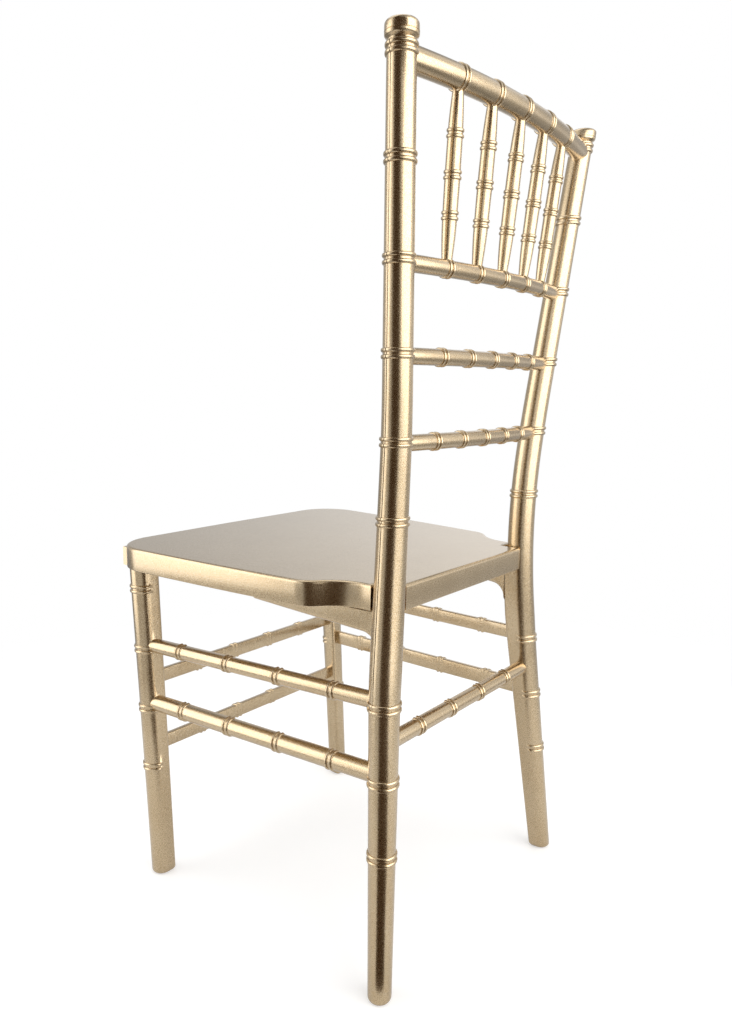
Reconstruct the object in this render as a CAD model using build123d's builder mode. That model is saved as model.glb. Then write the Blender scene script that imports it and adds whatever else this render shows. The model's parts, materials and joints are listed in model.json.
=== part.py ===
import math
import os

from build123d import *

os.makedirs("parts", exist_ok=True)

# Rear posts: one axis runs straight from the foot, bends near the seat and runs straight to the finial
rear_foot_half_span = 181.6
leg_splay_angle = 6.12
post_splay_angle = 6.97
leg_rake_angle = 3.77
post_rake_angle = 5.47
splay_bend_height = 477.0
rake_bend_height = 411.0
bend_half_length = 135.0
rear_foot_radius = 12.3
knee_radius = 16.7
knee_height = 330.0
crown_radius = 13.0
finial_rise = 11.3
finial_height = 18.0
finial_radius = 15.0
finial_flare_height = 3.2
finial_shoulder_height = 12.3
finial_crown_radius = 11.0
finial_neck_radius = 11.8
finial_root = 1.0
rear_corner_chamfer = 4.0

# Front legs
front_leg_setback = 49.2
front_leg_inset = 29.1
front_leg_lean_angle = 2.5
front_foot_radius = 12.9
front_top_radius = 15.0
front_corner_chamfer = 4.0

# Ring beads on the posts, and below the seat the heights of the beads where the legs step out
bead_width = 8.0
bead_rise = 1.6
bead_root = 2.5
seat_bead_height = 487.0
post_bead_gap = 78.1
crown_bead_rise = 4.6
post_bead_count = 5
leg_bead_first = 147.0
leg_bead_pitch = 76.0
rear_leg_bead_count = 3
front_leg_bead_first = 144.2
front_leg_bead_count = 4

# Back rails and spindles
top_rail_height = 892.5
top_rail_radius = 10.8
top_rail_bow = 17.8
slat_radius = 8.25
spindle_span = 163.2
spindle_rail_bow = 15.2
rail_pitch = 83.0
middle_rail_bow = 13.2
lower_rail_bow = 12.4
rail_bays = 4
spindle_count = 5
spindle_radius = 6.6
spindle_top_pitch = 54.4
spindle_foot_pitch = 48.9

# Stretchers, half round outside and flat inside
stretcher_radius = 8.5
side_lower_radius = 9.8
stretcher_flat = 4.0
side_upper_height = 300.2
side_lower_height = 225.3
side_stretcher_rise = 1.6
front_upper_height = 255.5
front_lower_height = 169.3
rear_stretcher_height = 259.0

# Seat, with heights measured where its middle line crosses the tilted top face
seat_height = 424.2
seat_tilt_angle = 1.2
seat_mid_reach = 209.0
seat_front_reach = 406.5
seat_front_round = 2.5
seat_half_width = 204.5
seat_corner_radius = 55.0
seat_waist_half_width = 181.0
seat_side_bulge = 4.0
seat_waist_reach = 99.0
seat_neck_half_width = 147.0
seat_neck_reach = 84.0
seat_neck_taper = 2.5
seat_horn_radius = 7.0
seat_cove_radius = 34.0
seat_post_gap = 2.0
seat_rear_reach = 13.0
skirt_height = 26.0
skirt_wall = 4.5
seat_skin = 5.0
seat_edge_chamfer = 3.0
rib_thickness = 3.0
rib_count = 3
rib_pitch_across = 98.0
rib_pitch_along = 96.0

# Seat brackets on the rear legs
bracket_toe_angle = 10.7
bracket_reach = 181.0
bracket_thickness = 16.0
bracket_tip_depth = 3.2
bracket_knee_reach = 37.0
bracket_knee_depth = 20.4
bracket_root_reach = 13.0
bracket_root_depth = 37.0

# Fixings
tenon_size = 8.0
tenon_inset = 4.0
stud_size = 13.0
stud_height = 18.0
pad_size = 30.0

# Clearances
fit_gap = 0.2
end_gap = 0.5
cope_gap = 0.3
ring_gap = 0.9

# Values that follow from the sizes above
spindle_rail_height = top_rail_height - spindle_span
middle_rail_height = spindle_rail_height - rail_pitch
lower_rail_height = middle_rail_height - rail_pitch
front_foot_reach = seat_front_reach - front_leg_setback
front_leg_half_span = seat_half_width - front_leg_inset
back_reach = math.tan(math.radians(post_rake_angle)) * (top_rail_height - rake_bend_height)
back_reach -= math.tan(math.radians(leg_rake_angle)) * rake_bend_height
back_reach += top_rail_bow + top_rail_radius
rear_line = (seat_front_reach - back_reach) / 2
seat_plane = Plane(
    origin=(0, rear_line - seat_mid_reach, seat_height),
    x_dir=(1, 0, 0),
    z_dir=(0, math.sin(math.radians(seat_tilt_angle)), math.cos(math.radians(seat_tilt_angle))),
)
seat_under = seat_plane.offset(-skirt_height)
inner = Vector(-1, 0, 0)
forward = Vector(0, -1, 0)
backward = Vector(0, 1, 0)


def tangent(angle):
    return math.tan(math.radians(angle))


def bend_ramp(height, bend_height):
    start = bend_height - bend_half_length
    if height <= start:
        return 0.0
    if height >= bend_height + bend_half_length:
        return height - bend_height
    return (height - start) ** 2 / (4 * bend_half_length)


def post_point(height):
    across = rear_foot_half_span - tangent(leg_splay_angle) * height
    across += (tangent(leg_splay_angle) + tangent(post_splay_angle)) * bend_ramp(height, splay_bend_height)
    back = -tangent(leg_rake_angle) * height
    back += (tangent(leg_rake_angle) + tangent(post_rake_angle)) * bend_ramp(height, rake_bend_height)
    return Vector(across, rear_line + back, height)


def post_direction(height):
    return (post_point(height + bead_width) - post_point(height - bead_width)).normalized()


def post_radius(height):
    if height < knee_height:
        return rear_foot_radius + (knee_radius - rear_foot_radius) * height / knee_height
    share = (height - knee_height) / (top_rail_height - knee_height)
    return knee_radius + (crown_radius - knee_radius) * share


def front_point(height):
    reach = front_foot_reach + tangent(front_leg_lean_angle) * height
    return Vector(front_leg_half_span, rear_line - reach, height)


def front_radius(height):
    return front_foot_radius + (front_top_radius - front_foot_radius) * height / seat_height


def under_height(point):
    return seat_under.origin.Z - tangent(seat_tilt_angle) * (point.Y - seat_under.origin.Y)


post_base = post_point(seat_height - skirt_height)
post_seat = under_height(post_base)
front_seat = under_height(front_point(seat_height - skirt_height))
front_way = (front_point(seat_height) - front_point(0)).normalized()
finial_base = top_rail_height + finial_rise
crown_bead_height = top_rail_height + crown_bead_rise
post_bead_first = seat_bead_height + post_bead_gap
post_bead_pitch = (crown_bead_height - post_bead_first) / (post_bead_count - 1)
post_bead_heights = [seat_bead_height]
post_bead_heights += [post_bead_first + post_bead_pitch * step for step in range(post_bead_count)]
rear_leg_bead_heights = [leg_bead_first + leg_bead_pitch * step for step in range(rear_leg_bead_count)]
front_bead_heights = [front_leg_bead_first + leg_bead_pitch * step for step in range(front_leg_bead_count)]


# A ring bead is a turned ridge set around a post's line, and trimmed clear of a rail that ends there
def ring_bead(point, direction, radius, trims):
    slope = bead_width / 2 / bead_rise
    with BuildPart() as bead:
        with BuildSketch(Plane(origin=point, x_dir=direction, z_dir=direction.cross(backward))):
            with BuildLine():
                Polyline(
                    (-bead_width / 2 - bead_root * slope, radius - bead_root),
                    (0, radius + bead_rise),
                    (bead_width / 2 + bead_root * slope, radius - bead_root),
                    close=True,
                )
            make_face()
        revolve(axis=Axis(point, direction))
        for normal, distance in trims:
            split(bisect_by=Plane(origin=point + normal * distance, z_dir=normal), keep=Keep.BOTTOM)
    return bead.part


# Leg section: round on the outside, with flat faces and a chamfered corner toward the middle of the chair
def leg_section(radius, corner, turn):
    half = radius * math.sqrt(0.5)
    ThreePointArc((-radius, 0), (-half, -turn * half), (0, -turn * radius))
    ThreePointArc((0, -turn * radius), (half, -turn * half), (radius, 0))
    ThreePointArc((radius, 0), (half, turn * half), (0, turn * radius))
    Polyline(
        (0, turn * radius), (corner - radius, turn * radius), (-radius, turn * (radius - corner)), (-radius, 0)
    )


# One straight bay of a leg, mitred where it meets the bays below and above it
def leg_bay(low, high, low_cut, high_cut, radius, corner, turn):
    way = (high - low).normalized()
    with BuildPart() as bay:
        start = low - way * radius
        with BuildSketch(Plane(origin=start, x_dir=Vector(1, 0, 0) - way * way.X, z_dir=way)):
            if corner > 0:
                with BuildLine():
                    leg_section(radius, corner, turn)
                make_face()
            else:
                Circle(radius)
        extrude(amount=(high - low).length + 2 * radius)
        split(bisect_by=Plane(origin=low, z_dir=low_cut), keep=Keep.TOP)
        split(bisect_by=Plane(origin=high, z_dir=high_cut), keep=Keep.BOTTOM)
    return bay.part


def leg_bays(points, radii, corners, turn, extra):
    ways = [(high - low).normalized() for low, high in zip(points[:-1], points[1:])]
    mitres = [(low + high).normalized() for low, high in zip(ways[:-1], ways[1:])]
    cuts = [Vector(0, 0, 1)] + mitres + [ways[-1]]
    bays = []
    for step, radius in enumerate(radii):
        bays.append(
            leg_bay(
                points[step], points[step + 1], cuts[step], cuts[step + 1], radius + extra, corners[step], turn
            )
        )
    return bays


rear_joints = [0] + rear_leg_bead_heights + [post_seat]
leg_bay_count = len(rear_joints) - 1
rear_joints += post_bead_heights + [finial_base]
waist_radius = post_radius((rear_leg_bead_heights[-1] + seat_bead_height) / 2)
rear_radii = []
for low, high in zip(rear_joints[:-1], rear_joints[1:]):
    in_waist = rear_leg_bead_heights[-1] <= low < seat_bead_height
    rear_radii.append(waist_radius if in_waist else post_radius((low + high) / 2))
rear_corners = [rear_corner_chamfer] * leg_bay_count + [0] * (len(rear_radii) - leg_bay_count)
rear_points = [post_point(height) for height in rear_joints]
front_joints = [0] + front_bead_heights + [seat_height]
front_points = [front_point(height) for height in front_joints]
front_radii = [front_radius((low + high) / 2) for low, high in zip(front_joints[:-1], front_joints[1:])]
front_corners = [front_corner_chamfer] * len(front_radii)


# A bead sits on the thicker of the two bays that meet at it
def bead_radius(height):
    spot = rear_joints.index(height)
    return max(rear_radii[spot - 1], rear_radii[spot])


with BuildPart() as rear_clearance:
    add(leg_bays(rear_points, rear_radii, rear_corners, -1, cope_gap))

with BuildPart() as front_clearance:
    add(leg_bays(front_points, front_radii, front_corners, 1, cope_gap))

rear_clearance_right = mirror(rear_clearance.part, about=Plane.YZ)
front_clearance_right = mirror(front_clearance.part, about=Plane.YZ)


def flip(point):
    return Vector(-point.X, point.Y, point.Z)


# Back rails follow an arc between the posts in straight bays
def rail_point(height, bow, across):
    end = post_point(height)
    radius = (end.X**2 + bow**2) / (2 * bow)
    return Vector(across, end.Y + bow - radius + math.sqrt(radius**2 - across**2), height)


def rail_joints(height, bow):
    end = post_point(height)
    pitch = (end.X - post_radius(height)) / (rail_bays / 2)
    inside = [rail_point(height, bow, pitch * (step - rail_bays / 2)) for step in range(1, rail_bays)]
    return [flip(end)] + inside + [end]


rails = {
    "top_rail": (top_rail_height, top_rail_radius, top_rail_bow),
    "spindle_rail": (spindle_rail_height, slat_radius, spindle_rail_bow),
    "middle_rail": (middle_rail_height, slat_radius, middle_rail_bow),
    "lower_rail": (lower_rail_height, slat_radius, lower_rail_bow),
}
spindle_lines = []
for step in range(spindle_count):
    shift = step - (spindle_count - 1) / 2
    foot = rail_point(spindle_rail_height, spindle_rail_bow, shift * spindle_foot_pitch)
    spindle_lines.append((foot, rail_point(top_rail_height, top_rail_bow, shift * spindle_top_pitch)))


# Tenons, studs and their sockets are square, with two sides level or two sides along X
def square_peg(origin, direction, size, length, mode):
    side = direction.cross(Vector(0, 0, 1)) if abs(direction.Z) < 0.5 else backward.cross(direction)
    with BuildSketch(Plane(origin=origin, x_dir=side, z_dir=direction)) as section:
        Rectangle(size, size)
    extrude(section.sketch, amount=length, mode=mode)


# A rail before its ends are coped, used for the rail and for what it leaves room in
def rail_bar(height, radius, bow):
    joints = rail_joints(height, bow)
    with BuildPart() as bar:
        with BuildLine():
            path = Polyline(*joints)
        with BuildSketch(Plane(origin=joints[0], z_dir=joints[1] - joints[0])):
            Circle(radius)
        sweep(path=path, transition=Transition.RIGHT)
    return bar.part


def build_rail(name, height, radius, bow):
    joints = rail_joints(height, bow)
    with BuildPart() as rail:
        add(rail_bar(height, radius, bow))
        add(rear_clearance.part, mode=Mode.SUBTRACT)
        add(rear_clearance_right, mode=Mode.SUBTRACT)
        for end, near in ((joints[-1], joints[-2]), (joints[0], joints[1])):
            way = (end - near).normalized()
            start = end - way * (2 * post_radius(height))
            square_peg(start, way, tenon_size, 2 * post_radius(height) - tenon_inset, Mode.ADD)
    rail.part.label = name
    export_step(rail.part, f"parts/{name}.step")


# Spindles are coped to the rail under them and to the top rail
def build_spindle(name, low, high):
    with BuildPart() as spindle:
        with BuildSketch(Plane(origin=low, z_dir=high - low)):
            Circle(spindle_radius)
        extrude(amount=(high - low).length)
        add(spindle_rail_clearance, mode=Mode.SUBTRACT)
        add(top_rail_clearance, mode=Mode.SUBTRACT)
    spindle.part.label = name
    export_step(spindle.part, f"parts/{name}.step")


spindle_rail_clearance = rail_bar(spindle_rail_height, slat_radius + cope_gap, spindle_rail_bow)
top_rail_clearance = rail_bar(top_rail_height, top_rail_radius + cope_gap, top_rail_bow)
for rail_name, (rail_height, rail_radius, rail_bow) in rails.items():
    build_rail(rail_name, rail_height, rail_radius, rail_bow)
for number, (low_end, high_end) in enumerate(spindle_lines, start=1):
    build_spindle(f"spindle_{number}", low_end, high_end)


# Stretchers run from leg axis to leg axis, are coped to both legs and end in square tenons
def build_stretcher(name, start, end, radius, outward, start_size, end_size, cuts):
    along = (end - start).normalized()
    length = (end - start).length
    with BuildPart() as stretcher:
        with BuildSketch(Plane(origin=start, x_dir=outward, z_dir=along)):
            with BuildLine():
                ThreePointArc((0, -radius), (radius, 0), (0, radius))
                Polyline((0, radius), (-stretcher_flat, radius), (-stretcher_flat, -radius), (0, -radius))
            make_face()
        extrude(amount=length)
        for cut in cuts:
            add(cut, mode=Mode.SUBTRACT)
        square_peg(start + along * tenon_inset, along, tenon_size, 2 * start_size, Mode.ADD)
        square_peg(end - along * tenon_inset, -along, tenon_size, 2 * end_size, Mode.ADD)
    stretcher.part.label = name
    export_step(stretcher.part, f"parts/{name}.step")


side_stretchers = {
    "upper": (side_upper_height, stretcher_radius),
    "lower": (side_lower_height, side_lower_radius),
}
for level, (height, radius) in side_stretchers.items():
    front_end = front_point(height)
    rear_end = post_point(height + side_stretcher_rise)
    along = (rear_end - front_end).normalized()
    outward = Vector(along.Y, -along.X, 0).normalized()
    front_size = front_radius(height)
    rear_size = post_radius(height)
    build_stretcher(
        f"left_stretcher_{level}", front_end, rear_end, radius, outward, front_size, rear_size,
        (front_clearance.part, rear_clearance.part),
    )
    build_stretcher(
        f"right_stretcher_{level}", flip(front_end), flip(rear_end), radius, flip(outward), front_size,
        rear_size, (front_clearance_right, rear_clearance_right),
    )
for level, height in (("upper", front_upper_height), ("lower", front_lower_height)):
    end = front_point(height)
    size = front_radius(height)
    build_stretcher(
        f"front_stretcher_{level}", flip(end), end, stretcher_radius, forward, size, size,
        (front_clearance.part, front_clearance_right),
    )
rear_end = post_point(rear_stretcher_height)
rear_size = post_radius(rear_stretcher_height)
build_stretcher(
    "rear_stretcher", flip(rear_end), rear_end, stretcher_radius, backward, rear_size, rear_size,
    (rear_clearance.part, rear_clearance_right),
)

# Seat bracket in the upright plane that runs forward and outward from the post
bracket_way = Vector(math.sin(math.radians(bracket_toe_angle)), -math.cos(math.radians(bracket_toe_angle)), 0)
bracket_plane = Plane(
    origin=(post_base.X, post_base.Y, post_seat), x_dir=bracket_way, z_dir=bracket_way.cross(Vector(0, 0, 1))
)
with BuildPart() as bracket:
    with BuildSketch(bracket_plane):
        with BuildLine():
            slope = Line((bracket_reach, -bracket_tip_depth), (bracket_knee_reach, -bracket_knee_depth))
            root = (bracket_root_reach, -bracket_root_depth)
            TangentArc(slope @ 1, root, tangent=slope % 1)
            Polyline(
                root,
                (0, -bracket_root_depth),
                (0, bracket_knee_depth),
                (bracket_reach, bracket_knee_depth),
                slope @ 0,
            )
        make_face()
    extrude(amount=bracket_thickness / 2, both=True)
    split(bisect_by=seat_under, keep=Keep.BOTTOM)

# Rear leg
rear_sockets = []
for rail_height, rail_radius, rail_bow in rails.values():
    joints = rail_joints(rail_height, rail_bow)
    rear_sockets.append((joints[-1], (joints[-2] - joints[-1]).normalized()))
for height, radius in side_stretchers.values():
    rear_spot = post_point(height + side_stretcher_rise)
    rear_sockets.append((rear_spot, (front_point(height) - rear_spot).normalized()))
rear_sockets.append((rear_end, inner))

rear_beads = []
for height in post_bead_heights:
    size = bead_radius(height)
    stops = []
    for rail_height, rail_radius, rail_bow in rails.values():
        if abs(rail_height - height) < rail_radius + bead_width:
            joints = rail_joints(rail_height, rail_bow)
            clear_reach = math.sqrt(size**2 - (rail_radius + cope_gap) ** 2) - ring_gap
            stops.append(((joints[-2] - joints[-1]).normalized(), clear_reach))
    rear_beads.append(ring_bead(post_point(height), post_direction(height), size, stops))

with BuildPart() as rear_leg_left:
    add(leg_bays(rear_points, rear_radii, rear_corners, -1, 0))
    add(bracket.part)
    add(rear_beads)
    tip = post_point(finial_base)
    tip_way = post_direction(finial_base)
    with BuildSketch(Plane(origin=tip, x_dir=tip_way, z_dir=tip_way.cross(backward))):
        with BuildLine():
            Polyline(
                (-finial_root, 0),
                (-finial_root, finial_neck_radius),
                (finial_flare_height, finial_radius),
                (finial_shoulder_height, finial_radius),
                (finial_height, finial_crown_radius),
                (finial_height, 0),
                close=True,
            )
        make_face()
    revolve(axis=Axis(tip, tip_way))
    for point, way in rear_sockets:
        start = point + way * (tenon_inset - end_gap)
        square_peg(start, way, tenon_size + 2 * fit_gap, 2 * knee_radius, Mode.SUBTRACT)

# Front leg
front_top = front_point(front_seat)
front_sockets = []
for height, radius in side_stretchers.values():
    rear_spot = post_point(height + side_stretcher_rise)
    front_sockets.append((front_point(height), (rear_spot - front_point(height)).normalized()))
for height in (front_upper_height, front_lower_height):
    front_sockets.append((front_point(height), inner))

with BuildPart() as front_leg_left:
    add(leg_bays(front_points, front_radii, front_corners, 1, 0))
    split(bisect_by=seat_under, keep=Keep.BOTTOM)
    for point, way in front_sockets:
        start = point + way * (tenon_inset - end_gap)
        square_peg(start, way, tenon_size + 2 * fit_gap, 2 * front_top_radius, Mode.SUBTRACT)
    square_peg(front_top - front_way * stud_size, front_way, stud_size, stud_size + stud_height, Mode.ADD)

with BuildPart() as rear_leg_right:
    mirror(rear_leg_left.part, about=Plane.YZ)

with BuildPart() as front_leg_right:
    mirror(front_leg_left.part, about=Plane.YZ)

for name, leg in (
    ("rear_leg_left", rear_leg_left),
    ("rear_leg_right", rear_leg_right),
    ("front_leg_left", front_leg_left),
    ("front_leg_right", front_leg_right),
):
    leg.part.label = name
    export_step(leg.part, f"parts/{name}.step")

# Seat outline on the tilted top face, drawn for one half and mirrored
post_at_seat = post_point(seat_height)
notch_side = post_at_seat.X - post_radius(seat_height) - seat_post_gap
notch_front = rear_line - post_at_seat.Y + post_radius(seat_height) + seat_post_gap
neck_end = seat_neck_half_width - seat_neck_taper


def along_seat(reach):
    return seat_mid_reach - reach


with BuildSketch() as seat_outline:
    with BuildLine():
        front_mid = (0, along_seat(seat_front_reach))
        corner = (seat_half_width, along_seat(seat_front_reach - seat_front_round))
        waist = (seat_waist_half_width, along_seat(seat_waist_reach))
        neck = (seat_neck_half_width, along_seat(seat_neck_reach))
        Line(front_mid, corner)
        SagittaArc(corner, waist, -seat_side_bulge)
        Polyline(
            waist,
            neck,
            (neck_end, along_seat(notch_front)),
            (notch_side, along_seat(notch_front)),
            (notch_side, along_seat(seat_rear_reach)),
            (0, along_seat(seat_rear_reach)),
            front_mid,
        )
    make_face()
    fillet(seat_outline.vertices().sort_by_distance(corner)[0], seat_corner_radius)
    fillet(seat_outline.vertices().sort_by_distance(waist)[0], seat_horn_radius)
    fillet(seat_outline.vertices().sort_by_distance(neck)[0], seat_cove_radius)
    mirror(about=Plane.YZ)

with BuildSketch() as seat_pocket:
    add(seat_outline.sketch)
    offset(amount=-skirt_wall, kind=Kind.INTERSECTION, mode=Mode.REPLACE)

with BuildSketch() as seat_ribs:
    for step in range(rib_count):
        shift = step - (rib_count - 1) / 2
        with Locations((shift * rib_pitch_across, 0)):
            Rectangle(rib_thickness, 3 * seat_mid_reach)
        with Locations((0, shift * rib_pitch_along)):
            Rectangle(3 * seat_half_width, rib_thickness)
    for side in (1, -1):
        pad_spot = seat_under.to_local_coords(Vector(side * front_top.X, front_top.Y, front_top.Z))
        with Locations((pad_spot.X, pad_spot.Y)):
            Rectangle(pad_size, pad_size)
    add(seat_pocket.sketch, mode=Mode.INTERSECT)

with BuildPart() as seat:
    with BuildSketch(seat_plane):
        add(seat_outline.sketch)
    extrude(amount=-skirt_height)
    top_face = seat.faces().sort_by(Axis.Z)[-1]
    chamfer(top_face.edges(), seat_edge_chamfer)
    with BuildSketch(seat_plane.offset(-seat_skin)):
        add(seat_pocket.sketch)
    extrude(amount=seat_skin - skirt_height, mode=Mode.SUBTRACT)
    with BuildSketch(seat_plane.offset(-seat_skin)):
        add(seat_ribs.sketch)
    extrude(amount=seat_skin - skirt_height)
    for side in (1, -1):
        stud_foot = front_top - front_way * stud_size
        stud_foot = Vector(side * stud_foot.X, stud_foot.Y, stud_foot.Z)
        stud_room = stud_size + stud_height + end_gap
        square_peg(stud_foot, front_way, stud_size + 2 * fit_gap, stud_room, Mode.SUBTRACT)
seat.part.label = "seat"
export_step(seat.part, "parts/seat.step")
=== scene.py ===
import json
import math

import bpy
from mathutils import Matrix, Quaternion, Vector


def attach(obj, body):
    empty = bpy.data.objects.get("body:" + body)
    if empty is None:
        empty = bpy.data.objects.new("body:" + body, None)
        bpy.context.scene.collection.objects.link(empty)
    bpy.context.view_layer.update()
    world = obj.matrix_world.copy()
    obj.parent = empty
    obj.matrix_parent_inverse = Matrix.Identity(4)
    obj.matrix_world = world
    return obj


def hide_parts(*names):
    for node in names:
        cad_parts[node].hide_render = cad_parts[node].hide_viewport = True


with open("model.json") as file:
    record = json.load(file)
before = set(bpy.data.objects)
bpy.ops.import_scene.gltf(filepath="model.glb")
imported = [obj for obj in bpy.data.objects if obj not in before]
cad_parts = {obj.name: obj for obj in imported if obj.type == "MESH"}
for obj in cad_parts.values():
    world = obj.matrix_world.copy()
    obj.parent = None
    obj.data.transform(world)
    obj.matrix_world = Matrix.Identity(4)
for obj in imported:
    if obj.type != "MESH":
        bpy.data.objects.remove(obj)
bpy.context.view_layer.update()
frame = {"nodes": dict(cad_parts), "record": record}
mounts = {mount["name"]: mount for mount in frame["record"]["mounts"]}
print("frame loaded with", len(frame["nodes"]), "nodes")

# drawing sizes are in millimetres and degrees, meshes and the studio in metres
mm = 0.001
up = Vector((0, 0, 1))
sideways = Vector((1, 0, 0))
rearLine = mounts["floor"]["pos_m"][1] / mm  # y of the rear feet
seatMid = Vector(mounts["seat_top"]["pos_m"]) / mm
seatUp = Vector(mounts["seat_top"]["axis"]).normalized()
seatBack = seatUp.cross(sideways)


# materials
class Wire:
    # a node's output that takes part in Python sums
    def __init__(self, tree, socket):
        self.tree = tree
        self.socket = socket

    @classmethod
    def add(cls, tree, kind, settings=None, sockets=None, output=0):
        node = tree.nodes.new(kind)
        for name, value in (settings or {}).items():
            if name == "stops":
                ramp = node.color_ramp.elements
                while len(ramp) < len(value):
                    ramp.new(0.5)
                for stop, (place, colour) in zip(ramp, value):
                    stop.position = place
                    stop.color = colour
            else:
                setattr(node, name, value)
        for name, value in (sockets or {}).items():
            if isinstance(value, Wire):
                tree.links.new(value.socket, node.inputs[name])
            else:
                node.inputs[name].default_value = value
        return cls(tree, node.outputs[output] if node.outputs else None)

    # goes softly from low to high while the value runs from start to end
    def softStep(self, start, end, low, high):
        return Wire.add(
            self.tree, "ShaderNodeMapRange", {"interpolation_type": "SMOOTHSTEP"},
            {"Value": self, "From Min": start, "From Max": end, "To Min": low, "To Max": high},
        )

    def calc(self, operation, first, second):
        return Wire.add(
            self.tree, "ShaderNodeMath", {"operation": operation}, {0: first, 1: second}
        )

    def __add__(self, other):
        return self.calc("ADD", self, other)

    def __radd__(self, other):
        return self.calc("ADD", other, self)

    def __sub__(self, other):
        return self.calc("SUBTRACT", self, other)

    def __rsub__(self, other):
        return self.calc("SUBTRACT", other, self)

    def __mul__(self, other):
        return self.calc("MULTIPLY", self, other)

    def __rmul__(self, other):
        return self.calc("MULTIPLY", other, self)


def clearTree(tree):
    for node in list(tree.nodes):
        tree.nodes.remove(node)


def newMaterial(name):
    material = bpy.data.materials.new(name)
    material.use_nodes = True
    clearTree(material.node_tree)
    return material, material.node_tree


goldPaint = {
    "tones": [  # from the deepest flake to the palest
        (0.33, (0.47, 0.33, 0.17, 1)),
        (0.50, (0.63, 0.48, 0.29, 1)),
        (0.67, (0.75, 0.61, 0.42, 1)),
    ],
    "flake": {"Scale": 1150.0, "Detail": 2.0, "Roughness": 0.6},
    "cloud": {"Scale": 14.0, "Detail": 3.0, "Roughness": 0.55},
    "cloudShare": 0.2,  # of the clouds in the colour, the rest is flakes
    "metallic": 1.0,
    "roughness": 0.27,
    "flakeGloss": 0.16,
    "cloudGloss": 0.06,
    "flakeBump": 0.09,
    "flakeHeight": 0.0004,
    "coat": 1.0,
    "coatRoughness": 0.17,
}


def makeGoldPaint():
    material, tree = newMaterial("gold_paint")
    place = Wire.add(tree, "ShaderNodeTexCoord", output="Object")
    flake, cloud = (
        Wire.add(tree, "ShaderNodeTexNoise", sockets={"Vector": place, **goldPaint[grain]})
        for grain in ("flake", "cloud")
    )
    tone = flake * (1 - goldPaint["cloudShare"]) + cloud * goldPaint["cloudShare"]
    colour = Wire.add(tree, "ShaderNodeValToRGB", {"stops": goldPaint["tones"]}, {"Fac": tone})
    roughness = goldPaint["roughness"] + (flake - 0.5) * goldPaint["flakeGloss"]
    roughness = roughness + (cloud - 0.5) * goldPaint["cloudGloss"]
    bump = Wire.add(
        tree, "ShaderNodeBump",
        sockets={
            "Height": flake,
            "Strength": goldPaint["flakeBump"],
            "Distance": goldPaint["flakeHeight"],
        },
    )
    surface = Wire.add(
        tree, "ShaderNodeBsdfPrincipled",
        sockets={
            "Base Color": colour,
            "Roughness": roughness,
            "Metallic": goldPaint["metallic"],
            "Coat Weight": goldPaint["coat"],
            "Coat Roughness": goldPaint["coatRoughness"],
            "Normal": bump,
        },
    )
    Wire.add(tree, "ShaderNodeOutputMaterial", sockets={"Surface": surface})
    return material


goldFinish = makeGoldPaint()
print("gold paint mixed")

# mesh helpers
sharpAngle = 35.0  # an edge that turns by more than this looks crisp
probe = 1.0  # a path's direction is taken over this much either side


def smoothStep(value):
    value = min(max(value, 0.0), 1.0)
    return value * value * (3 - 2 * value)


def slope(angle):
    return math.tan(math.radians(angle))


def around(size, angle):
    spot = math.radians(angle)
    return size * math.cos(spot), size * math.sin(spot)


def flip(point):
    return Vector((-point.x, point.y, point.z))


def mirrored(rings):
    return [[flip(point) for point in reversed(ring)] for ring in rings]


def pathWay(pointAt, place):
    return (pointAt(place + probe) - pointAt(place - probe)).normalized()


def evenPlaces(pitch, count, middle=0.0):
    return [middle + pitch * (step - (count - 1) / 2) for step in range(count)]


# a quarter round as pairs that run from (0, size) to (size, 0)
def quarterRound(size, steps):
    turns = [math.pi / 2 * step / steps for step in range(steps + 1)]
    return [(size * (1 - math.cos(turn)), size * (1 - math.sin(turn))) for turn in turns]


# joins rings into a closed shell
def skin(rings):
    count = len(rings[0])
    points = [tuple(point * mm) for ring in rings for point in ring]
    faces = []
    for step in range(len(rings) - 1):
        low, high = step * count, (step + 1) * count
        for spot in range(count):
            after = (spot + 1) % count
            faces.append((low + spot, low + after, high + after, high + spot))
    faces.append(tuple(reversed(range(count))))
    faces.append(tuple(range(len(points) - count, len(points))))
    return points, faces


def addObject(name, data):
    thing = bpy.data.objects.new(name, data)
    bpy.context.scene.collection.objects.link(thing)
    return thing


# joins shells into the piece that stands for a node of the frame
def makePiece(node, shells):
    points, faces = [], []
    for shellPoints, shellFaces in shells:
        start = len(points)
        points += shellPoints
        faces += [tuple(start + spot for spot in face) for face in shellFaces]
    name = node + "_shape"
    mesh = bpy.data.meshes.new(name)
    mesh.from_pydata(points, [], faces)
    mesh.validate()
    mesh.polygons.foreach_set("use_smooth", [True] * len(mesh.polygons))
    mesh.set_sharp_from_angle(angle=math.radians(sharpAngle))
    mesh.materials.append(goldFinish)
    piece = addObject(name, mesh)
    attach(piece, "root")
    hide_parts(node)


def makePair(name, shellRings):
    makePiece(name + "_left", [skin(rings) for rings in shellRings])
    makePiece(name + "_right", [skin(mirrored(rings)) for rings in shellRings])


# a double ring bead is two half-round rings with a groove between them
beadStyles = {
    "leg": {"ring": 4.3, "groove": 1.8, "rise": 1.7},
    "rail": {"ring": 3.5, "groove": 1.5, "rise": 1.4},
    "spindle": {"ring": 3.6, "groove": 1.5, "rise": 1.2},
    "stretcher": {"ring": 4.0, "groove": 1.8, "rise": 1.5},
}
ringSteps = 8
beadClear = 0.5  # plain stations keep this far from a bead


def beadSteps(style):
    steps = []
    for side in (-1, 1):
        middle = side * (style["groove"] + style["ring"]) / 2
        for step in range(ringSteps + 1):
            turn = math.pi * step / ringSteps
            shift = middle - math.cos(turn) * style["ring"] / 2
            steps.append((shift, math.sin(turn) * style["rise"]))
    return steps


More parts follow.
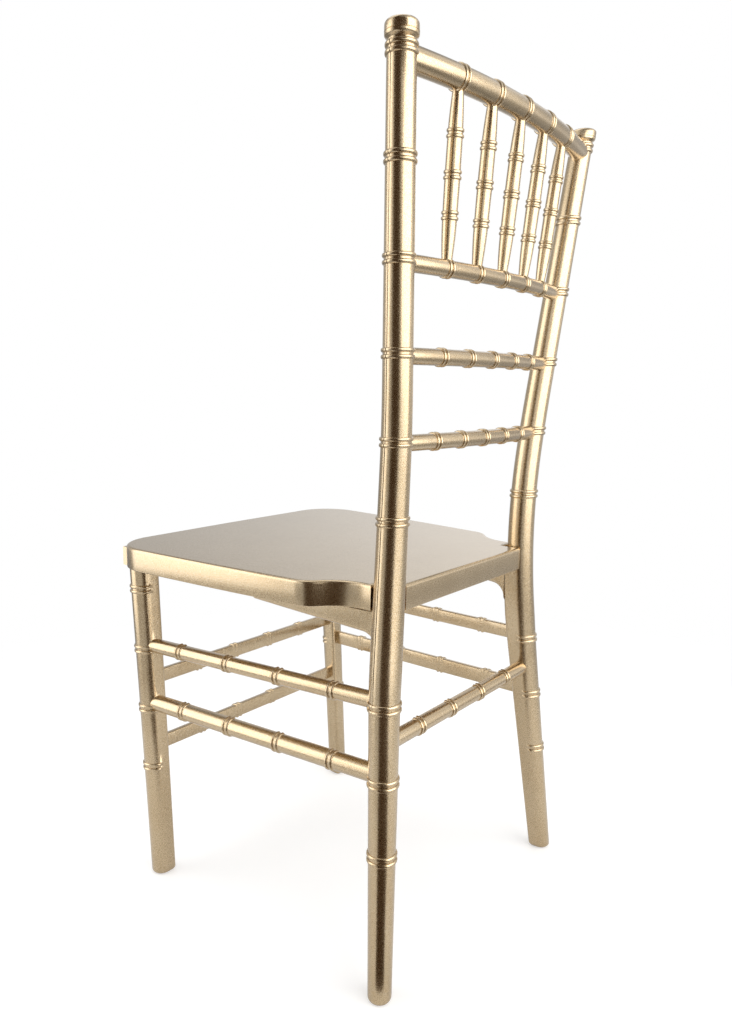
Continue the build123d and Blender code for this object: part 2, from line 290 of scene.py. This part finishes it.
# places along a bar, each with how far a bead swells it there
def stationsWith(style, beads, start, end, spacing):
    reach = style["ring"] + style["groove"] / 2 + beadClear
    count = max(2, round((end - start) / spacing))
    plain = [start + (end - start) * step / count for step in range(count + 1)]
    stations = [
        (place, 0.0) for place in plain if all(abs(place - bead) > reach for bead in beads)
    ]
    for bead in beads:
        stations += [(bead + shift, swell) for shift, swell in beadSteps(style)]
    return sorted(stations)


# rear leg, post and finial in one length
rearPost = {
    "footHalfSpan": 181.6,
    "legSplay": 6.12,
    "postSplay": 6.97,
    "legRake": 3.77,
    "postRake": 5.47,
    "splayBend": 477.0,
    "rakeBend": 411.0,
    "bendHalf": 135.0,
    "footRadius": 12.3,
    "kneeRadius": 16.7,
    "kneeHeight": 330.0,
    "crownRadius": 13.0,
    "crownHeight": 892.5,
    "cornerRound": 5.0,
    "footRound": 5.0,
    "spacing": 14.0,
    "beads": [147.0, 223.0, 299.0, 487.0, 565.1, 648.1, 731.1, 814.1, 897.1],
    "partingAngle": -9.0,
    "partingSpread": 2.0,
    "partingDepth": 0.6,
    "partingStart": 240.0,
    "partingFade": 120.0,
    "finialBase": 903.8,
    "finialGap": 0.6,
    "finialProfile": [  # height above the base and radius
        (0.0, 12.0), (0.8, 12.4), (1.7, 13.6), (2.4, 14.5), (3.2, 15.0),
        (5.2, 15.1), (5.5, 14.6), (5.8, 15.1), (10.8, 15.0), (12.2, 14.7),
        (13.4, 13.9), (14.2, 12.8), (14.7, 11.2), (14.9, 9.0), (14.9, 4.0),
    ],
}


def bendRamp(height, bend):
    start = bend - rearPost["bendHalf"]
    if height <= start:
        return 0.0
    if height >= bend + rearPost["bendHalf"]:
        return height - bend
    return (height - start) ** 2 / (4 * rearPost["bendHalf"])


def postPoint(height):
    legSplay, postSplay = slope(rearPost["legSplay"]), slope(rearPost["postSplay"])
    legRake, postRake = slope(rearPost["legRake"]), slope(rearPost["postRake"])
    across = rearPost["footHalfSpan"] - legSplay * height
    across += (legSplay + postSplay) * bendRamp(height, rearPost["splayBend"])
    back = -legRake * height + (legRake + postRake) * bendRamp(height, rearPost["rakeBend"])
    return Vector((across, rearLine + back, height))


def postRadius(height):
    knee, kneeRadius = rearPost["kneeHeight"], rearPost["kneeRadius"]
    if height < knee:
        return rearPost["footRadius"] + (kneeRadius - rearPost["footRadius"]) * height / knee
    share = (height - knee) / (rearPost["crownHeight"] - knee)
    return kneeRadius + (rearPost["crownRadius"] - kneeRadius) * share


roundStart, roundArc = 180.0, 270.0  # the part of a leg's section that is always round
roundSteps = 42
flatSteps = 3
cornerSteps = 6
footSteps = 6
beadFade = 16.0  # degrees over which a bead dies away at a flat face


# a leg's section is round outside; toward the middle of the chair it is round too,
# or squared, with two flat faces and a rounded corner
def legLoop(radius, corner, turn, swell=0.0, squared=True, parting=None):
    roundEnd = roundStart + roundArc
    seam, spread = 360 + rearPost["partingAngle"] * turn, rearPost["partingSpread"]
    loop = []
    for step in range(roundSteps + 1):
        angle = roundStart + roundArc * step / roundSteps
        size = radius + swell
        if squared:
            flatNear = min(angle - roundStart, roundEnd - angle)
            size = radius + swell * smoothStep(flatNear / beadFade)
        if parting is not None and abs(angle - seam) < roundArc / roundSteps / 2:
            loop += [around(size, seam - spread), around(size - parting, seam)]
            loop.append(around(size, seam + spread))
        else:
            loop.append(around(size, angle))
    if squared:
        inner = radius - corner
        loop += [(-inner * step / flatSteps, radius) for step in range(1, flatSteps + 1)]
        for step in range(1, cornerSteps):
            x, y = around(corner, 90 * (1 + step / cornerSteps))
            loop.append((x - inner, y + inner))
        loop += [(-radius, inner * step / flatSteps) for step in range(flatSteps, 0, -1)]
    else:
        innerSteps = 2 * flatSteps + cornerSteps
        for step in range(1, innerSteps):
            angle = roundEnd + (360 - roundArc) * step / innerSteps
            loop.append(around(radius + swell, angle))
    if turn < 0:
        loop = [(x, -y) for x, y in reversed(loop)]
    return loop


# the rounded foot's sections, smaller toward the floor
def footLoops(sizes, radiusAt, turn, parting=None):
    loops = []
    for place, inward in quarterRound(sizes["footRound"], footSteps)[:-1]:
        radius = radiusAt(place)
        share = 1 - inward / radius
        loop = legLoop(radius, sizes["cornerRound"], turn, parting=parting)
        loops.append((place, [(x * share, y * share) for x, y in loop]))
    return loops


# a section is square to the leg, and its points slide along the leg to one level
def legRing(centre, way, loop):
    side = (sideways - way * way.x).normalized()
    ahead = way.cross(side)
    offsets = [side * x + ahead * y for x, y in loop]
    return [centre + offset - way * (offset.z / way.z) for offset in offsets]


def rearLegRings():
    corner, base = rearPost["cornerRound"], rearPost["finialBase"]
    seatLevel = underSeat(postPoint(seatMid.z - seat["skirt"]))
    stations = stationsWith(
        beadStyles["leg"], rearPost["beads"], rearPost["footRound"],
        base - rearPost["finialGap"], rearPost["spacing"],
    )
    stations += [(seatLevel, 0.0), (seatLevel + seat["touchGap"], 0.0)]
    loops = footLoops(rearPost, postRadius, -1, 0.0)
    for place, swell in sorted(stations):
        fade = smoothStep((place - rearPost["partingStart"]) / rearPost["partingFade"])
        parting = rearPost["partingDepth"] * fade
        squared = place <= seatLevel
        loops.append((place, legLoop(postRadius(place), corner, -1, swell, squared, parting)))
    rings = [legRing(postPoint(place), pathWay(postPoint, place), loop) for place, loop in loops]
    tip, tipWay = postPoint(base), pathWay(postPoint, base)
    for rise, radius in rearPost["finialProfile"]:
        loop = legLoop(radius, corner, -1, squared=False, parting=0.0)
        rings.append(legRing(tip + tipWay * rise, tipWay, loop))
    return rings


# plate that carries the seat, moulded onto the rear leg
bracket = {
    "toeOut": 5.0,
    "inward": 6.5,
    "reach": 178.0,
    "thickness": 16.0,
    "tipDepth": 11.5,
    "kneeReach": 33.0,
    "kneeDepth": 25.2,
    "filletRadius": 18.0,
    "filletSteps": 12,
    "lengthSteps": 20,
    "edgeRound": 5.5,
    "edgeShare": 0.45,  # the most of the depth that an edge takes
    "edgeSteps": 5,
    "rebateDepth": 6.0,
    "rebateHeight": 2.0,
}


def bracketRings():
    toe = math.radians(bracket["toeOut"])
    way = Vector((math.sin(toe), -math.cos(toe), 0))
    side = way.cross(up)
    foot = postPoint(seatMid.z - seat["skirt"])
    foot.x -= bracket["inward"]
    foot.z = underSeat(foot)
    knee, fillet = bracket["kneeReach"], bracket["filletRadius"]
    length, steps = bracket["reach"] - knee, bracket["lengthSteps"]
    grade = (bracket["kneeDepth"] - bracket["tipDepth"]) / length
    half = bracket["thickness"] / 2
    # places along the plate, and what the fillet at the post adds to the depth there
    turns = quarterRound(fillet, bracket["filletSteps"])[:-1]
    places = [(knee - fillet + out, deeper) for out, deeper in turns]
    places += [(knee + length * step / steps, 0.0) for step in range(steps + 1)]
    rings = []
    for place, deeper in places:
        spot = foot + way * place
        top = underSeat(spot) - seat["touchGap"]
        depth = bracket["tipDepth"] + grade * (bracket["reach"] - place) + deeper
        low = foot.z - depth
        edge = min(bracket["edgeRound"], (top - low) * bracket["edgeShare"])
        turns = quarterRound(edge, bracket["edgeSteps"])
        ledge, shelf = bracket["rebateDepth"] - half, top - bracket["rebateHeight"]
        loop = [(ledge, top), (ledge, shelf), (-half, shelf)]
        loop += [(out - half, low + rise) for out, rise in turns]
        loop += [(half - rise, low + out) for out, rise in turns]
        loop.append((half, top))
        level = Vector((spot.x, spot.y, 0))
        rings.append([level + side * across + up * height for across, height in reversed(loop)])
    return rings


def makeRearLegs():
    makePair("rear_leg", [rearLegRings(), bracketRings()])


# front legs
frontLeg = {
    "footReach": 357.3,
    "halfSpan": 175.4,
    "lean": 2.5,
    "footRadius": 12.9,
    "topRadius": 15.0,
    "cornerRound": 4.5,
    "footRound": 5.0,
    "spacing": 20.0,
    "beads": [144.2, 220.2, 296.2, 372.2],
}


def frontPoint(height):
    reach = frontLeg["footReach"] + slope(frontLeg["lean"]) * height
    return Vector((frontLeg["halfSpan"], rearLine - reach, height))


def frontRadius(height):
    growth = frontLeg["topRadius"] - frontLeg["footRadius"]
    return frontLeg["footRadius"] + growth * height / seatMid.z


def makeFrontLegs():
    top = underSeat(frontPoint(seatMid.z - seat["skirt"]))
    stations = stationsWith(
        beadStyles["leg"], frontLeg["beads"], frontLeg["footRound"], top, frontLeg["spacing"]
    )
    loops = footLoops(frontLeg, frontRadius, 1)
    for place, swell in stations:
        loops.append((place, legLoop(frontRadius(place), frontLeg["cornerRound"], 1, swell)))
    way = pathWay(frontPoint, 0)
    makePair("front_leg", [[legRing(frontPoint(place), way, loop) for place, loop in loops]])


# back rails
backRails = {
    "top_rail": {"height": 892.9, "radius": 11.3, "bow": 17.8, "beadPitch": 54.4},
    "spindle_rail": {"height": 729.3, "radius": 8.25, "bow": 15.2, "beadPitch": 48.9},
    "middle_rail": {"height": 646.3, "radius": 8.25, "bow": 13.2, "beadPitch": 45.7},
    "lower_rail": {"height": 563.3, "radius": 8.25, "bow": 12.4, "beadPitch": 43.9},
}
railForm = {
    "beadCount": 5,
    "spacing": 7.0,
    "endShare": 0.55,  # of the post's radius, from its middle to the rail's end
}
circleSteps = 40


def railPoint(rail, across):
    end, bow = postPoint(rail["height"]), rail["bow"]
    radius = (end.x ** 2 + bow ** 2) / (2 * bow)
    back = end.y + bow - radius + math.sqrt(radius ** 2 - across ** 2)
    return Vector((across, back, rail["height"]))


def railBeads(rail):
    return evenPlaces(rail["beadPitch"], railForm["beadCount"])


def roundRing(centre, way, side, radius):
    ahead = way.cross(side)
    ring = []
    for step in range(circleSteps):
        x, y = around(radius, 360 * step / circleSteps)
        ring.append(centre + side * x + ahead * y)
    return ring


def makeRail(name, rail):
    end = postPoint(rail["height"]).x - postRadius(rail["height"]) * railForm["endShare"]
    stations = stationsWith(beadStyles["rail"], railBeads(rail), -end, end, railForm["spacing"])
    rings = []
    for across, swell in stations:
        way = pathWay(lambda place: railPoint(rail, place), across)
        side = way.cross(up).normalized()
        rings.append(roundRing(railPoint(rail, across), way, side, rail["radius"] + swell))
    makePiece(name, [skin(rings)])


# spindles
spindle = {
    "endRadius": 5.3,
    "shoulderRadius": 7.15,
    "midRadius": 7.5,
    "beadPlaces": [0.27, 0.515, 0.76],
    "spacing": 4.0,
    "embed": 3.0,  # how far each end runs into its rail
}


def spindleRadius(share):
    first, middle = spindle["beadPlaces"][:2]
    endRadius, shoulder = spindle["endRadius"], spindle["shoulderRadius"]
    near = min(share, 1 - share)
    if near < first:
        return endRadius + (shoulder - endRadius) * math.sin(math.pi / 2 * near / first)
    return shoulder + (spindle["midRadius"] - shoulder) * (near - first) / (middle - first)


def makeSpindles():
    lowRail, highRail = backRails["spindle_rail"], backRails["top_rail"]
    start, embed = lowRail["radius"], spindle["embed"]
    ends = zip(railBeads(lowRail), railBeads(highRail))
    for number, (lowPlace, highPlace) in enumerate(ends, start=1):
        low, high = railPoint(lowRail, lowPlace), railPoint(highRail, highPlace)
        way = (high - low).normalized()
        side = (sideways - way * way.x).normalized()
        clear = (high - low).length - start - highRail["radius"]
        beads = [start + clear * share for share in spindle["beadPlaces"]]
        stations = stationsWith(
            beadStyles["spindle"], beads, start - embed, start + clear + embed, spindle["spacing"]
        )
        rings = []
        for place, swell in stations:
            radius = spindleRadius((place - start) / clear) + swell
            rings.append(roundRing(low + way * place, way, side, radius))
        makePiece(f"spindle_{number}", [skin(rings)])


# stretchers, half round outside and flat inside; each level is a height and a radius
stretcher = {
    "flat": 4.0,
    "edgeRound": 1.0,
    "edgeSteps": 3,
    "arcSteps": 22,
    "spacing": 30.0,
    "embed": 5.0,  # how far each end runs into its leg
    "beadCount": 4,
    "sidePitch": 75.5,
    "frontPitch": 65.5,
    "rearPitch": 62.0,
    "sideLevels": {"upper": (300.2, 8.5), "lower": (226.3, 9.8)},
    "sideRise": 1.6,
    "frontLevels": {"upper": (255.5, 8.5), "lower": (169.3, 8.5)},
    "rearLevel": (259.0, 8.5),
}


def stretcherLoop(size):
    flat, steps = stretcher["flat"], stretcher["arcSteps"]
    edge = quarterRound(stretcher["edgeRound"], stretcher["edgeSteps"])
    loop = [around(size, 180 * (step / steps - 0.5)) for step in range(steps + 1)]
    loop += [(rise - flat, size - out) for out, rise in edge]
    loop += [(out - flat, rise - size) for out, rise in edge]
    return loop


def makeStretcher(name, start, end, radius, outward, pitch, startInset, endInset):
    way = (end - start).normalized()
    rise = way.cross(outward)
    first, last = startInset, (end - start).length - endInset
    beads = evenPlaces(pitch, stretcher["beadCount"], (first + last) / 2)
    embed = stretcher["embed"]
    stations = stationsWith(
        beadStyles["stretcher"], beads, first - embed, last + embed, stretcher["spacing"]
    )
    rings = []
    for place, swell in stations:
        centre = start + way * place
        rings.append([centre + outward * x + rise * y for x, y in stretcherLoop(radius + swell)])
    makePiece(name, [skin(rings)])


def makeStretchers():
    for level, (height, radius) in stretcher["sideLevels"].items():
        start, end = frontPoint(height), postPoint(height + stretcher["sideRise"])
        way = (end - start).normalized()
        outward = Vector((way.y, -way.x, 0)).normalized()
        rest = stretcher["sidePitch"], frontRadius(height), postRadius(height)
        makeStretcher(f"left_stretcher_{level}", start, end, radius, outward, *rest)
        start, end, outward = flip(start), flip(end), flip(outward)
        makeStretcher(f"right_stretcher_{level}", start, end, radius, outward, *rest)
    for level, (height, radius) in stretcher["frontLevels"].items():
        end, outward = frontPoint(height), Vector((0, -1, 0))
        rest = stretcher["frontPitch"], frontRadius(height), frontRadius(height)
        makeStretcher(f"front_stretcher_{level}", flip(end), end, radius, outward, *rest)
    height, radius = stretcher["rearLevel"]
    end, outward = postPoint(height), Vector((0, 1, 0))
    rest = stretcher["rearPitch"], postRadius(height), postRadius(height)
    makeStretcher("rear_stretcher", flip(end), end, radius, outward, *rest)


# seat shell; each reach is measured forward from the rear feet
seat = {
    "frontReach": 406.5,
    "frontRound": 2.5,
    "halfWidth": 204.5,
    "cornerRadius": 55.0,
    "cornerSteps": 14,
    "waistHalf": 181.5,
    "waistReach": 99.0,
    "sideBulge": 3.0,
    "sideSteps": 12,
    "neckHalf": 146.5,
    "neckReach": 70.0,
    "neckTaper": -1.5,
    "hornRadius": 28.0,
    "hornLead": 0.45,  # of the horn's radius, where the side arc gives way to it
    "coveRadius": 52.0,
    "coveSteps": 10,
    "postGap": 1.0,
    "rearReach": 13.0,
    "midReach": 209.0,
    "skirt": 27.0,
    "skirtWall": 4.5,
    "skinDepth": 5.0,
    "edgeRound": 3.6,
    "edgeSteps": 6,
    "lipRound": 0.9,
    "lipSteps": 3,
    "innerLip": 0.5,  # of the outer lip's round
    "topInset": 1.5,
    "touchGap": 0.05,  # keeps faces that meet under the seat apart
    "ribThickness": 3.0,
    "ribCount": 3,
    "ribAcross": 98.0,
    "ribAlong": 96.0,
    "ribShy": 0.3,  # the ribs end this far above the skirt's edge
    "ribBite": 1.0,  # and run this far into the top
    "padSize": 30.0,
}
mitreLimit = 0.3  # keeps a sharp corner from running far out when the outline is inset


def underSeat(point):
    drop = seatMid - seatUp * seat["skirt"]
    return drop.z - (point.y - drop.y) * seatUp.y / seatUp.z


def alongSeat(reach):
    return seat["midReach"] - reach


def arcPoints(centre, radius, first, last, steps):
    turns = [first + (last - first) * step / steps for step in range(steps + 1)]
    return [centre + Vector((math.cos(turn), math.sin(turn))) * radius for turn in turns]


def roundCorner(before, corner, after, radius, steps):
    back, ahead = (before - corner).normalized(), (after - corner).normalized()
    half = math.acos(max(-1, min(1, back.dot(ahead)))) / 2
    centre = corner + (back + ahead).normalized() * (radius / math.sin(half))
    start = corner + back * (radius / math.tan(half)) - centre
    end = corner + ahead * (radius / math.tan(half)) - centre
    first, last = math.atan2(start.y, start.x), math.atan2(end.y, end.x)
    while last - first > math.pi:
        last -= 2 * math.pi
    while last - first < -math.pi:
        last += 2 * math.pi
    return arcPoints(centre, radius, first, last, steps)


def seatOutline():
    post, clear = postPoint(seatMid.z), postRadius(seatMid.z) + seat["postGap"]
    notchSide = post.x - clear
    notchFront = alongSeat(rearLine - post.y + clear)
    rear = alongSeat(seat["rearReach"])
    frontMid = Vector((0, alongSeat(seat["frontReach"])))
    corner = Vector((seat["halfWidth"], alongSeat(seat["frontReach"] - seat["frontRound"])))
    waist = Vector((seat["waistHalf"], alongSeat(seat["waistReach"])))
    neck = Vector((seat["neckHalf"], alongSeat(seat["neckReach"])))
    notch = Vector((seat["neckHalf"] - seat["neckTaper"], notchFront))
    # the side is a slack arc from the front corner to the waist
    chord, bulge = waist - corner, seat["sideBulge"]
    sideRadius = ((chord.length / 2) ** 2 + bulge ** 2) / (2 * bulge)
    inward = Vector((-chord.y, chord.x)).normalized()
    sideCentre = (corner + waist) / 2 + inward * (sideRadius - bulge)
    # the front corner touches the front edge and the side arc
    front, size = (corner - frontMid).normalized(), seat["cornerRadius"]
    normal = Vector((-front.y, front.x))
    base = frontMid + normal * size - sideCentre
    lead = base.dot(front)
    along = math.sqrt(lead ** 2 - base.dot(base) + (sideRadius - size) ** 2) - lead
    cornerCentre = frontMid + normal * size + front * along
    touch = (cornerCentre - sideCentre).normalized()
    first, last = math.atan2(-normal.y, -normal.x), math.atan2(touch.y, touch.x)
    toWaist = waist - sideCentre
    stop = math.atan2(toWaist.y, toWaist.x) - seat["hornRadius"] * seat["hornLead"] / sideRadius
    side = arcPoints(sideCentre, sideRadius, last, stop, seat["sideSteps"])
    outline = [frontMid] + arcPoints(cornerCentre, size, first, last, seat["cornerSteps"])
    outline += side[1:]
    outline += roundCorner(side[-1], waist, neck, seat["hornRadius"], seat["coveSteps"])
    outline += roundCorner(waist, neck, notch, seat["coveRadius"], seat["coveSteps"])
    outline += [notch, Vector((notchSide, notchFront)), Vector((notchSide, rear))]
    left = [Vector((-point.x, point.y)) for point in reversed(outline[1:])]
    return outline + [Vector((0, rear))] + left


def insetOutline(outline, amount):
    moved = []
    for before, here, after in zip(outline[-1:] + outline, outline, outline[1:] + outline[:1]):
        comes, goes = (here - before).normalized(), (after - here).normalized()
        first, second = Vector((-comes.y, comes.x)), Vector((-goes.y, goes.x))
        middle = (first + second).normalized()
        moved.append(here + middle * (amount / max(middle.dot(first), mitreLimit)))
    return moved


def onSeat(outline, depth):
    base = seatMid - seatUp * depth
    return [base + sideways * point.x + seatBack * point.y for point in outline]


# from the pocket's roof down its wall, round the lip, up the skirt and over the edge
def seatRings(outline):
    wall, skirt, lip = seat["skirtWall"], seat["skirt"], seat["lipRound"]
    lipTurns = quarterRound(lip, seat["lipSteps"])
    steps = [(wall, seat["skinDepth"])]
    steps += [(wall - (lip - rise) * seat["innerLip"], skirt - rise) for _, rise in lipTurns]
    steps += [(rise, skirt - out) for out, rise in lipTurns]
    steps += quarterRound(seat["edgeRound"], seat["edgeSteps"])
    steps.append((seat["edgeRound"] + seat["topInset"], 0))
    return [onSeat(insetOutline(outline, inward), depth) for inward, depth in steps]


def seatBlock(low, high):
    corners = [(low.x, low.y), (high.x, low.y), (high.x, high.y), (low.x, high.y)]
    corners = [Vector(corner) for corner in corners]
    depths = seat["skirt"] - seat["ribShy"], seat["skinDepth"] - seat["ribBite"]
    return skin([onSeat(corners, depth) for depth in depths])


def spanAcross(outline, axis, place):
    other = 1 - axis
    crossings = []
    for here, after in zip(outline, outline[1:] + outline[:1]):
        if (here[axis] > place) != (after[axis] > place):
            share = (place - here[axis]) / (after[axis] - here[axis])
            crossings.append(here[other] + (after[other] - here[other]) * share)
    return min(crossings), max(crossings)


def makeSeat():
    outline = seatOutline()
    shells = [skin(seatRings(outline))]
    pocket = insetOutline(outline, seat["skirtWall"])
    half = seat["ribThickness"] / 2
    for across in evenPlaces(seat["ribAcross"], seat["ribCount"]):
        low, high = spanAcross(pocket, 0, across)
        shells.append(seatBlock(Vector((across - half, low)), Vector((across + half, high))))
    for along in evenPlaces(seat["ribAlong"], seat["ribCount"]):
        low, high = spanAcross(pocket, 1, along)
        shells.append(seatBlock(Vector((low, along - half)), Vector((high, along + half))))
    # pads over the front legs
    pad = Vector((seat["padSize"], seat["padSize"])) / 2
    legTop = frontPoint(seatMid.z)
    for spot in (flip(legTop), legTop):
        middle = Vector((spot.x, (spot - seatMid).dot(seatBack)))
        shells.append(seatBlock(middle - pad, middle + pad))
    makePiece("seat", shells)


makeRearLegs()
print("rear legs and posts moulded")
makeFrontLegs()
print("front legs moulded")
for railName, railSizes in backRails.items():
    makeRail(railName, railSizes)
print("back rails bent")
makeSpindles()
print("spindles turned")
makeStretchers()
print("stretchers set between the legs")
makeSeat()
print("seat moulded")


# studio helpers
def rayIs(tree, kind):
    return Wire.add(tree, "ShaderNodeLightPath", output=f"Is {kind} Ray")


def addCard(name, corners, material):
    mesh = bpy.data.meshes.new(name)
    mesh.from_pydata(corners, [], [tuple(range(len(corners)))])
    mesh.materials.append(material)
    card = addObject(name, mesh)
    return card


# pale floor that fades into the background
floorSheet = {
    "colour": (0.68, 0.68, 0.68, 1),
    "glow": 0.40,
    "glossGlow": 0.02,  # its glow in reflections
    "reach": 3.0,
    "fade": (0.45, 1.3),
    "drop": 0.0005,
}


def makeFloor():
    material, tree = newMaterial("pale_floor")
    glow = (rayIs(tree, "Camera") + rayIs(tree, "Transmission")) * floorSheet["glow"]
    glow = glow + rayIs(tree, "Glossy") * floorSheet["glossGlow"]
    glow = Wire.add(
        tree, "ShaderNodeEmission", sockets={"Color": (1, 1, 1, 1), "Strength": glow}
    )
    matte = Wire.add(tree, "ShaderNodeBsdfDiffuse", sockets={"Color": floorSheet["colour"]})
    lit = Wire.add(tree, "ShaderNodeAddShader", sockets={0: matte, 1: glow})
    clear = Wire.add(tree, "ShaderNodeBsdfTransparent")
    place = Wire.add(tree, "ShaderNodeTexCoord", output="Object")
    away = Wire.add(tree, "ShaderNodeVectorMath", {"operation": "LENGTH"}, {0: place}, "Value")
    fade = away.softStep(*floorSheet["fade"], 0.0, 1.0)
    surface = Wire.add(tree, "ShaderNodeMixShader", sockets={0: fade, 1: lit, 2: clear})
    Wire.add(tree, "ShaderNodeOutputMaterial", sockets={"Surface": surface})
    reach = floorSheet["reach"]
    corners = [(-reach, -reach, 0), (reach, -reach, 0), (reach, reach, 0), (-reach, reach, 0)]
    floor = addCard("floor", corners, material)
    floor.location.z = -floorSheet["drop"]


# white to the camera; reflections see it darker below and toward the dim sides
surround = {
    "skyLevel": 0.75,
    "glossHigh": 0.95,
    "glossLow": 0.42,
    "glossEdge": (-0.25, 0.05),
    "glossDeep": 0.35,
    "deepEdge": (-0.70, -0.32),
    "dimSides": [
        {"way": (-0.15, -1.0, 0.20), "wide": 55.0, "core": 10.0, "share": 0.50},
        {"way": (-0.95, 0.17, 0.26), "wide": 24.0, "core": 6.0, "share": 0.45},
        {"way": (-0.42, -0.32, 0.85), "wide": 40.0, "core": 15.0, "share": 0.30},
        {"way": (0.46, 0.35, 0.82), "wide": 45.0, "core": 15.0, "share": 0.30},
    ],
}


def makeWorld():
    world = bpy.data.worlds.new("studio")
    bpy.context.scene.world = world
    world.use_nodes = True
    tree = world.node_tree
    clearTree(tree)
    way = Wire.add(tree, "ShaderNodeTexCoord", output="Generated")
    height = Wire.add(tree, "ShaderNodeSeparateXYZ", sockets={"Vector": way}, output="Z")
    shade = height.softStep(*surround["glossEdge"], surround["glossLow"], surround["glossHigh"])
    shade = shade * height.softStep(*surround["deepEdge"], surround["glossDeep"], 1.0)
    for side in surround["dimSides"]:
        toward = Wire.add(
            tree, "ShaderNodeVectorMath", {"operation": "DOT_PRODUCT"},
            {0: way, 1: Vector(side["way"]).normalized()}, "Value",
        )
        wide, core = (math.cos(math.radians(side[edge])) for edge in ("wide", "core"))
        shade = shade * toward.softStep(wide, core, 1.0, side["share"])
    camera, glossy = rayIs(tree, "Camera"), rayIs(tree, "Glossy")
    level = camera + (1 - camera) * (glossy * shade + (1 - glossy) * surround["skyLevel"])
    sky = Wire.add(
        tree, "ShaderNodeBackground", sockets={"Color": (1, 1, 1, 1), "Strength": level}
    )
    Wire.add(tree, "ShaderNodeOutputWorld", sockets={"Surface": sky})


# dark cards that only reflections see, as a photographer sets beside shiny goods
darkCards = {
    "colour": (0.045, 0.020, 0.003, 1),
    "corners": {
        "crown_flag": [
            (0.405, 0.115, 0.89), (0.265, 0.430, 0.89),
            (0.265, 0.430, 1.03), (0.405, 0.115, 1.03),
        ],
        "post_flag": [
            (0.44, 0.19, 0.03), (0.22, 0.42, 0.03),
            (0.383, 0.239, 1.30), (0.591, 0.004, 1.30),
        ],
        "foot_flag": [
            (0.197, 0.228, 0.001), (0.43, 1.02, 0.001),
            (1.08, 0.18, 0.001), (0.232, 0.18, 0.001),
        ],
    },
}


def makeDarkCards():
    material, tree = newMaterial("dark_card")
    glow = Wire.add(tree, "ShaderNodeEmission", sockets={"Color": darkCards["colour"]})
    Wire.add(tree, "ShaderNodeOutputMaterial", sockets={"Surface": glow})
    for name, corners in darkCards["corners"].items():
        card = addCard(name, corners, material)
        card.visible_camera = card.visible_diffuse = card.visible_shadow = False


softboxes = {
    "aim": (0, 0, 0.45),
    "boxes": [
        {"name": "right_softbox", "place": (0.0, 1.9, 0.95), "size": (2.6, 2.0), "power": 36},
        {"name": "left_softbox", "place": (0.90, -0.84, 0.70), "size": (0.9, 1.44), "power": 6.0},
        {"name": "top_softbox", "place": (-0.3, -0.5, 2.6), "size": (1.6, 1.6), "power": 8},
    ],
}


def makeSoftboxes():
    for box in softboxes["boxes"]:
        lamp = bpy.data.lights.new(box["name"], "AREA")
        lamp.shape = "RECTANGLE"
        lamp.size, lamp.size_y = box["size"]
        lamp.energy = box["power"]
        holder = addObject(box["name"], lamp)
        holder.location = box["place"]
        look = Vector(softboxes["aim"]) - Vector(box["place"])
        holder.rotation_euler = look.to_track_quat("-Z", "Y").to_euler()


# camera, as worked out from the photograph
viewPoint = {
    "across": 773.5,
    "behindFeet": 447.3,
    "height": 615.7,
    "yaw": 38.108,
    "pitch": 8.633,
    "roll": 0.088,
    "shift": (-1.1, -0.4),
    "focalPixels": 809.5,
    "imageHeight": 1024,
    "sensor": 36.0,
}


def makeCamera():
    imageHeight, sensor = viewPoint["imageHeight"], viewPoint["sensor"]
    lens = bpy.data.cameras.new("photo_view")
    lens.sensor_fit = "VERTICAL"
    lens.sensor_height = lens.sensor_width = sensor
    lens.lens = viewPoint["focalPixels"] * sensor / imageHeight
    lens.shift_x, lens.shift_y = (pixels / imageHeight for pixels in viewPoint["shift"])
    camera = addObject("photo_view", lens)
    behind = rearLine + viewPoint["behindFeet"]
    camera.location = Vector((viewPoint["across"], behind, viewPoint["height"])) * mm
    level, drop = around(1, -viewPoint["pitch"])
    ahead, aside = around(level, 180 + viewPoint["yaw"])
    roll = Quaternion((0, 0, 1), math.radians(viewPoint["roll"]))
    look = Vector((ahead, aside, drop)).to_track_quat("-Z", "Y")
    camera.rotation_euler = (look @ roll).to_euler()
    bpy.context.scene.camera = camera


makeFloor()
makeWorld()
makeDarkCards()
makeSoftboxes()
makeCamera()
bpy.context.scene.view_settings.view_transform = "Standard"
print("studio lit")
